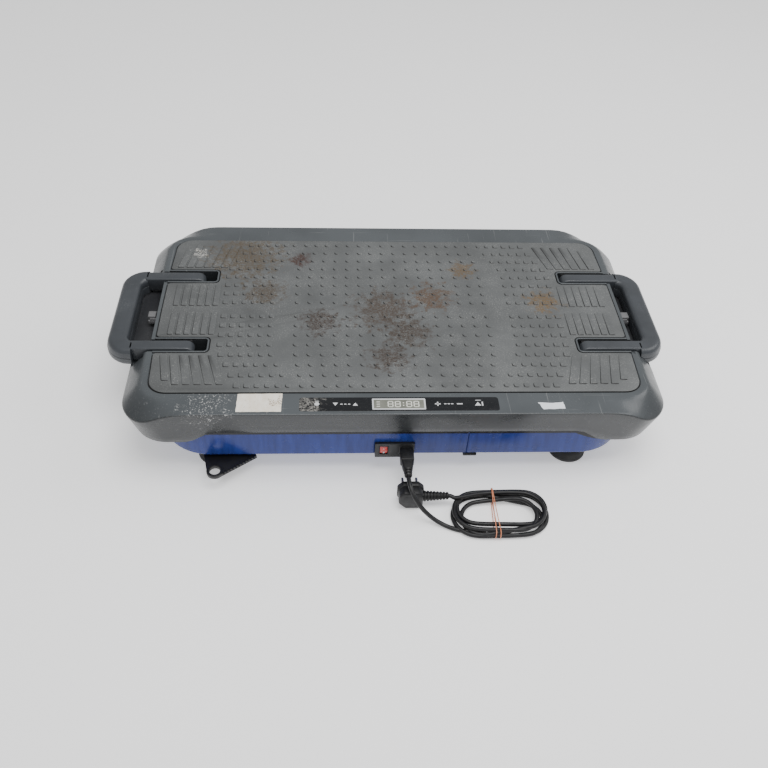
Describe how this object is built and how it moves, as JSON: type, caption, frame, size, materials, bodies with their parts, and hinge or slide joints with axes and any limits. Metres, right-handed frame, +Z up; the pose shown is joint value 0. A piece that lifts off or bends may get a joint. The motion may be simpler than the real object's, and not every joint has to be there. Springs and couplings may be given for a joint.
{
  "type": "vibration plate",
  "caption": "Low exercise platform whose ribbed step deck rocks on a crank-driven pivot, with pull-out fold-up handles, a display strip and a mains inlet.",
  "frame": {"origin": "on the floor, under the middle of the object's box without its mains lead, with the left handle drawn out as it stands", "axes": "+Z up, X along the deck's length, -Y the side with the display and the mains inlet"},
  "size_m": [0.789, 0.5318, 0.132],
  "materials": {
    "deck_grey": "slate-grey glossy moulded plastic",
    "mat_grey": "textured rubbery mat, scuffed",
    "handle_grey": "slate-grey satin plastic",
    "base_blue": "glossy blue moulded plastic",
    "black_plastic": "black plastic",
    "black_gloss": "black gloss overlay",
    "lcd": "grey-green display window",
    "foot_rubber": "black rubber",
    "switch_red": "red translucent rocker",
    "steel": "zinc-plated steel",
    "painted_steel": "black painted steel",
    "brass": "brass",
    "board_green": "circuit board",
    "belt_rubber": "black rubber belt",
    "alu": "cast aluminium",
    "cord_black": "black cable sheath",
    "band_orange": "orange rubber band"
  },
  "bodies": {
    "base": {"base_shell": "base_blue", "foot_front_left": "foot_rubber", "foot_front_right": "foot_rubber", "foot_rear_left": "foot_rubber", "foot_rear_right": "foot_rubber", "foot_screws": "steel", "foot_nuts": "steel", "power_panel": "black_plastic", "inlet_socket": "black_plastic", "inlet_blades": "steel", "switch_housing": "black_plastic", "pivot_brackets": "painted_steel", "pivot_pins": "steel", "buffer_posts": "steel", "rubber_buffers": "foot_rubber", "bearing_blocks": "alu", "shaft_bearings": "steel", "motor_body": "painted_steel", "motor_bracket": "steel", "drive_belt": "belt_rubber", "driver_board": "board_green", "board_spacers": "brass", "appliance_connector": "cord_black", "mains_plug": "cord_black", "plug_prongs": "steel", "cord_coil": "cord_black", "cord_tie": "band_orange", "mains_lead": "cord_black", "plug_tail": "cord_black"},
    "deck": {"deck_shell": "deck_grey", "step_mat": "mat_grey", "control_strip": "black_gloss", "display_window": "lcd", "display_board": "board_green", "deck_frame": "painted_steel", "pivot_bushes": "brass", "frame_screws": "steel", "rod_pin": "steel", "left_end_bracket": "black_plastic", "right_end_bracket": "black_plastic"},
    "eccentric": {"eccentric_shaft": "steel", "driven_pulley": "alu"},
    "motor_rotor": {"motor_shaft": "steel", "drive_pulley": "alu"},
    "connecting_rod": {"connecting_rod": "alu"},
    "rocker": {"rocker_switch": "switch_red"},
    "lug_left": {"band_lug_left": "black_plastic"},
    "lug_right": {"band_lug_right": "black_plastic"},
    "left_slide": {"left_handle_sliders": "black_plastic", "left_handle_pins": "steel"},
    "left_handle": {"left_handle_arms": "handle_grey", "left_grip_upper": "handle_grey", "left_grip_lower": "handle_grey"},
    "right_slide": {"right_handle_sliders": "black_plastic", "right_handle_pins": "steel"},
    "right_handle": {"right_handle_arms": "handle_grey", "right_grip_upper": "handle_grey", "right_grip_lower": "handle_grey"}
  },
  "joints": [
    {"name": "deck_rock", "type": "hinge", "parent": "base", "child": "deck", "pos_m": [0.0075, 0.008, 0.082], "axis": [0, 1, 0], "range_deg": [-1, 1], "stiffness_Nm_per_rad": 900},
    {"name": "rod_swing", "type": "hinge", "parent": "deck", "child": "connecting_rod", "pos_m": [-0.1425, 0.008, 0.104], "axis": [0, 1, 0], "range_deg": [-1, 1]},
    {"name": "shaft_spin", "type": "hinge", "parent": "base", "child": "eccentric", "pos_m": [-0.1425, 0.008, 0.07], "axis": [0, 1, 0], "continuous": true},
    {"name": "motor_spin", "type": "hinge", "parent": "base", "child": "motor_rotor", "pos_m": [0.1375, 0.008, 0.074], "axis": [0, 1, 0], "continuous": true},
    {"name": "left_pull", "type": "slide", "parent": "deck", "child": "left_slide", "axis": [-1, 0, 0], "range_m": [-0.015, 0]},
    {"name": "left_fold", "type": "hinge", "parent": "left_slide", "child": "left_handle", "pos_m": [-0.2825, 0.008, 0.121], "axis": [0, 1, 0], "range_deg": [0, 90]},
    {"name": "right_pull", "type": "slide", "parent": "deck", "child": "right_slide", "axis": [1, 0, 0], "range_m": [0, 0.015]},
    {"name": "right_fold", "type": "hinge", "parent": "right_slide", "child": "right_handle", "pos_m": [0.2825, 0.008, 0.121], "axis": [0, -1, 0], "range_deg": [0, 90]},
    {"name": "switch_rock", "type": "hinge", "parent": "base", "child": "rocker", "pos_m": [-0.0105, -0.1855, 0.046], "axis": [1, 0, 0], "range_deg": [-5, 5]},
    {"name": "left_lug_swing", "type": "hinge", "parent": "base", "child": "lug_left", "pos_m": [-0.2435, -0.15, 0.025], "axis": [0, 0, 1], "range_deg": [0, 90]},
    {"name": "right_lug_swing", "type": "hinge", "parent": "base", "child": "lug_right", "pos_m": [0.2585, -0.15, 0.025], "axis": [0, 0, 1], "range_deg": [0, 90]}
  ],
  "couplings": [
    {"joint": "rod_swing", "follows": "deck_rock", "ratio": -1},
    {"joint": "motor_spin", "follows": "shaft_spin", "ratio": 2.5}
  ]
}
